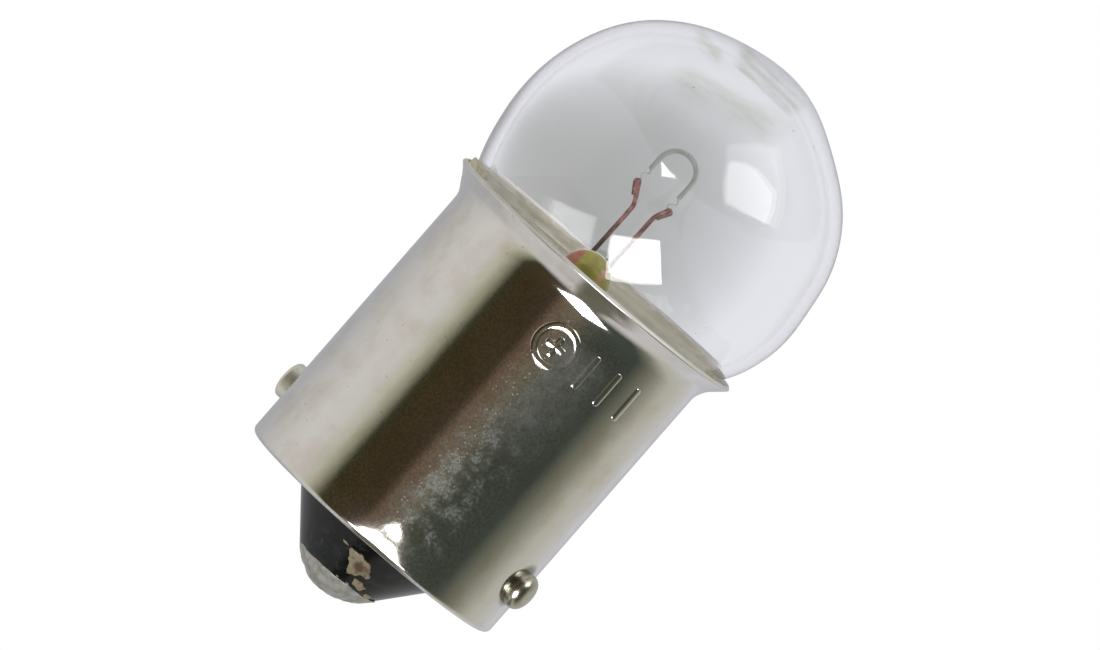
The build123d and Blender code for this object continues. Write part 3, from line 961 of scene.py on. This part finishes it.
bm = bmesh.new()
for sideways, height, thickness, outline in flux["spots"]:
    corners = [Vector(corner) for corner in outline]
    made = bmesh.ops.create_icosphere(bm, subdivisions=4, radius=1.0)["verts"]
    for vert in made:
        size = reach(corners, math.atan2(vert.co.y, vert.co.x))
        seed = Vector((vert.co.x, vert.co.y, 0)) * size + Vector((sideways, height, 0))
        ragged = size * (1 + flux["ragged"] * roughAt(seed * flux["raggedGrain"]))
        crust = thickness * (1 + flux["lumpy"] * roughAt(seed * flux["lumpyGrain"]))
        vert.co = Vector((vert.co.x * ragged, vert.co.y * ragged, vert.co.z * crust))
    bmesh.ops.transform(bm, matrix=conePlace(sideways, height), verts=made)
addPiece("fluxCrust", bm, fluxMaterial(), "solder")
print("end contact ready")

# Lead wires: up out of the press, outwards, and folded back into a squeezed hook. Places are given across
# the press, up the axis and to the front
leads = {
    "radius": 0.125,
    "strand": 0.085,
    "tip": 0.12,
    "back": 0.62,
    "setback": 0.4,
    "dents": 0.012,
    "dentGrain": 3.0,
    "Centre": {
        "side": -1,
        "fold": (-1.37, 18.62),
        "bend": (-0.76, 17.66),
        "route": ((-0.79, 14.7), (-0.855, 11.8), (-1.525, 9.2), (-1.525, 1.8), (0, 0.8), (0, -6.0)),
    },
    "Side": {
        "side": 1,
        "fold": (0.72, 18.50),
        "bend": (0.36, 17.88),
        "route": ((0.32, 14.7), (0.215, 11.8), (1.525, 9.2), (1.525, 2.9), (0, 2.9, -7.17), (0, 13.0, -7.17),
                  (0, 14.2, -8.1)),
    },
}
for name in ("Centre", "Side"):
    lead = leads[name]
    bend = mountPoint(*lead["bend"])
    fold = mountPoint(*lead["fold"])
    lean = (fold - bend).normalized()
    outward = frontward.cross(lean)
    if outward.dot(across) * lead["side"] < 0:
        outward = -outward
    strandOut = fold + outward * leads["strand"]
    strandIn = fold - outward * leads["strand"]
    tip = lean * leads["tip"]
    corners = [strandIn, bend] + [mountPoint(*point) for point in lead["route"]]
    route = [strandOut - lean * leads["back"], strandOut, strandOut + tip, strandIn + tip, strandIn]
    for before, corner, after in zip(corners, corners[1:], corners[2:]):
        route.append(corner + (before - corner).normalized() * leads["setback"])
        route.append(corner)
        route.append(corner + (after - corner).normalized() * leads["setback"])
    route.append(corners[-1])
    bm = tubeAlong([route], leads["radius"], "NURBS", sides=3)
    for vert in bm.verts:
        vert.co += noise.noise_vector(vert.co * leads["dentGrain"]) * leads["dents"]
    leadWire = addPiece("lead" + name, bm, copper, "copper_wire", "lead_wire_" + name.lower())
    leadWire.visible_glossy = False
print("leads ready")

# Fine coiled filament on an arch, with loose wavy tails down to the hooks
filament = {
    "middle": -0.32,
    "halfSpan": 1.0,
    "archCentre": 20.25,
    "legs": (0.70, 0.92),
    "wire": 0.03,
    "coil": 0.11,
    "turns": 44,
    "perTurn": 12,
    "tails": (
        ((-1.36, 18.55), (-1.30, 18.82), (-1.47, 19.02), (-1.45, 19.22), (-1.20, 19.30), (-1.24, 19.46)),
        ((0.72, 18.45), (0.60, 18.62), (0.47, 18.74), (0.55, 18.90), (0.82, 19.02), (0.78, 19.2)),
    ),
}
archSpan = math.pi * filament["halfSpan"]
archLength = sum(filament["legs"]) + archSpan
steps = filament["turns"] * filament["perTurn"]
coilRoute = []
for step in range(steps + 1):
    distance = archLength * step / steps - filament["legs"][0]
    swing = min(max(distance / filament["halfSpan"], 0), math.pi)
    outwards = -across * math.cos(swing) + lampAxis * math.sin(swing)
    below = max(-distance, distance - archSpan, 0)
    centre = mountPoint(filament["middle"], filament["archCentre"] - below) + outwards * filament["halfSpan"]
    phase = 2 * math.pi * step / filament["perTurn"]
    coilRoute.append(centre + (frontward * math.cos(phase) + outwards * math.sin(phase)) * filament["coil"])
tailRoutes = []
for tail, end in zip(filament["tails"], (coilRoute[0], coilRoute[-1])):
    tailRoutes.append([mountPoint(*point) for point in tail] + [end])
bm = tubeAlong([coilRoute], filament["wire"])
joinMesh(bm, tubeAlong(tailRoutes, filament["wire"], "NURBS"))
filamentCoil = addPiece("filamentCoil", bm, tungsten, "tungsten", "filament")
filamentCoil.visible_glossy = False
print("filament ready")

# Specks of dirt on the globe, by their place across it as the camera sees it and their size
dirt = {
    "shape": (1.0, 0.7, 0.35),
    "spots": (
        (1.49, 5.69, 0.085),
        (6.35, 3.61, 0.06),
        (7.35, 2.81, 0.05),
        (1.6, -6.2, 0.04),
        (2.1, -5.9, 0.05),
        (-0.35, 7.6, 0.045),
    ),
}
bm = bmesh.new()
for right, up, size in dirt["spots"]:
    outward = pictureWay(right, up, math.sqrt(globe["radius"] ** 2 - right ** 2 - up ** 2))
    place = lampAxis * upperCentre + across * globe["drift"] + outward * globe["radius"]
    side = outward.orthogonal().normalized()
    made = bmesh.ops.create_icosphere(bm, subdivisions=2, radius=size)["verts"]
    bmesh.ops.scale(bm, vec=dirt["shape"], verts=made)
    seat = Matrix.Translation(place) @ turned(side, outward.cross(side), outward)
    bmesh.ops.transform(bm, matrix=seat, verts=made)
addPiece("glassSpecks", bm, speckGrey, "cement")

# CAD pieces whose shape is right keep it and take a finish
for node, material in (
    ("stem", stemGlass),
    ("exhaust_tube", clearGlass),
    ("contact_eyelet", brass),
    ("side_solder", solder),
):
    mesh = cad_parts[node].data
    mesh.materials.clear()
    mesh.materials.append(material)
print("plain pieces ready")

# Studio: soft lamps that the glass and the metal reflect, and one that lights dull surfaces.
# Each lamp stands in a direction given as right, up and towards the camera, and is turned by some degrees
lamps = {
    "low": {
        "way": (-0.251, -0.541, 0.803),
        "distance": 260,
        "size": (142, 142),
        "turn": 0,
        "radiance": 10.0,
        "shiny": True,
    },
    "sideHigh": {
        "way": (0.891, 0.239, 0.386),
        "distance": 300,
        "size": (229, 188),
        "turn": 9,
        "radiance": 1.0,
        "shiny": True,
    },
    "sideLow": {
        "way": (0.870, 0.152, 0.469),
        "distance": 310,
        "size": (180, 112),
        "turn": -8,
        "radiance": 2.4,
        "shiny": True,
    },
    "key": {
        "way": (-0.35, 0.75, 0.56),
        "distance": 420,
        "size": (400, 400),
        "turn": 0,
        "radiance": 1.6,
        "shiny": False,
    },
}
for name, lamp in lamps.items():
    toLamp = pictureWay(*lamp["way"])
    lampRight = (pictureRight - toLamp * pictureRight.dot(toLamp)).normalized()
    lampUp = toLamp.cross(lampRight)
    lampData = bpy.data.lights.new(name, "AREA")
    lampData.shape = "RECTANGLE"
    lampData.size = lamp["size"][0] * mm
    lampData.size_y = lamp["size"][1] * mm
    lampData.energy = lamp["radiance"] * math.pi * lampData.size * lampData.size_y
    lampObject = bpy.data.objects.new(name, lampData)
    lampPlace = lampAxis * viewSetup["lookHeight"] + toLamp * lamp["distance"]
    turn = Matrix.Rotation(math.radians(lamp["turn"]), 4, "Z")
    lampObject.matrix_world = Matrix.Translation(lampPlace * mm) @ turned(lampRight, lampUp, toLamp) @ turn
    lampObject.visible_camera = False
    lampObject.visible_diffuse = not lamp["shiny"]
    lampObject.visible_glossy = lamp["shiny"]
    lampObject.visible_transmission = lamp["shiny"]
    scene.collection.objects.link(lampObject)

# Room that the metal reflects: tones round the axis by angle from the front, and a pale floor and ceiling,
# with a dark patch on the floor just right of the middle
room = {
    "stops": (
        (-180, (0.42, 0.425, 0.46)),
        (-150, (0.445, 0.45, 0.465)),
        (-120, (0.58, 0.57, 0.55)),
        (-92, (0.68, 0.66, 0.63)),
        (-73, (0.65, 0.63, 0.60)),
        (-62, (0.54, 0.535, 0.43)),
        (-53, (0.30, 0.29, 0.205)),
        (-46, (0.042, 0.042, 0.022)),
        (-36, (0.054, 0.040, 0.018)),
        (-11, (0.058, 0.041, 0.024)),
        (-4, (0.165, 0.118, 0.082)),
        (10, (0.165, 0.145, 0.10)),
        (22, (0.086, 0.091, 0.066)),
        (36, (0.057, 0.067, 0.053)),
        (70, (0.055, 0.066, 0.053)),
        (90, (0.215, 0.214, 0.162)),
        (113, (0.50, 0.495, 0.425)),
        (135, (0.565, 0.56, 0.52)),
        (155, (0.62, 0.625, 0.66)),
        (180, (0.42, 0.425, 0.46)),
    ),
    "pale": (0.62, 0.61, 0.60),
    "dark": (0.15, 0.15, 0.11),
    "darkAcross": (-0.08, 0.01, 0.22, 0.34),
    "ceiling": (0.72, 0.92),
    "floor": (-0.72, -0.92),
}
world = bpy.data.worlds.new("studio")
scene.world = world
world.use_nodes = True
world.cycles.sampling_method = "NONE"
tree = world.node_tree
tree.nodes.clear()
direction = addNode(tree, "ShaderNodeTexCoord").outputs["Generated"]
toRight = along(tree, direction, across)
upward = along(tree, direction, lampAxis)
roomAngle = mathNode(tree, "ARCTAN2", toRight, along(tree, direction, frontward))
roomShare = addNode(tree, "ShaderNodeMapRange", None, {
    "Value": roomAngle, "From Min": -math.pi, "From Max": math.pi}).outputs[0]
roomTone = ramp(tree, roomShare, [((angle + 180) / 360, colour) for angle, colour in room["stops"]])
floorTone = mixColour(tree, window(tree, toRight, *room["darkAcross"]), room["pale"], room["dark"])
roomTone = mixColour(tree, fade(tree, upward, *room["ceiling"]), roomTone, room["pale"])
roomTone = mixColour(tree, fade(tree, upward, *room["floor"]), roomTone, floorTone)

# Seen through the glass the backdrop is dim behind the globe, most of all in a streak to the upper left
backdrop = {
    "slant": 148,
    "along": (-0.085, 0.02, 0.12, 0.6),
    "across": (-0.2, 0.0, 0.0, 0.11),
    "dim": (0.39, 0.39, 0.385),
    "pale": (0.84, 0.84, 0.895),
    "fill": (0.5, 0.5, 0.5),
    "white": (1.0, 1.0, 1.0),
}
slant = math.radians(backdrop["slant"])
alongStreak = along(tree, direction, pictureRight * math.cos(slant) + pictureUp * math.sin(slant))
acrossStreak = along(tree, direction, pictureRight * math.sin(slant) - pictureUp * math.cos(slant))
dimShare = product(tree, window(tree, alongStreak, *backdrop["along"]),
                   window(tree, acrossStreak, *backdrop["across"]))
behindGlass = mixColour(tree, dimShare, backdrop["pale"], backdrop["dim"])
lightPath = addNode(tree, "ShaderNodeLightPath").outputs
seen = mixColour(tree, lightPath["Is Glossy Ray"], backdrop["fill"], roomTone)
seen = mixColour(tree, lightPath["Is Transmission Ray"], seen, behindGlass)
seen = mixColour(tree, lightPath["Is Camera Ray"], seen, backdrop["white"])
background = addNode(tree, "ShaderNodeBackground", None, {"Color": seen, "Strength": 1.0})
addNode(tree, "ShaderNodeOutputWorld", None, {"Surface": background.outputs[0]})

# Pale floor far below, left out of reflections
floorSetup = {"drop": -260.0, "size": 600.0, "light": (0.85, 0.85, 0.85), "dark": (0.84, 0.84, 0.84)}
bm = bmesh.new()
bmesh.ops.create_grid(bm, x_segments=1, y_segments=1, size=floorSetup["size"] * mm)
bmesh.ops.translate(bm, vec=(0, 0, floorSetup["drop"] * mm), verts=bm.verts[:])
floorMesh = bpy.data.meshes.new("floor")
bm.to_mesh(floorMesh)
bm.free()
floorPaint = mottledMaterial("floor", floorSetup["light"], floorSetup["dark"],
                             scale=0.02, roughness=0.9, relief=0.0)
floorMesh.materials.append(floorPaint)
floor = bpy.data.objects.new("floor", floorMesh)
floor.visible_glossy = False
scene.collection.objects.link(floor)
print("studio ready")
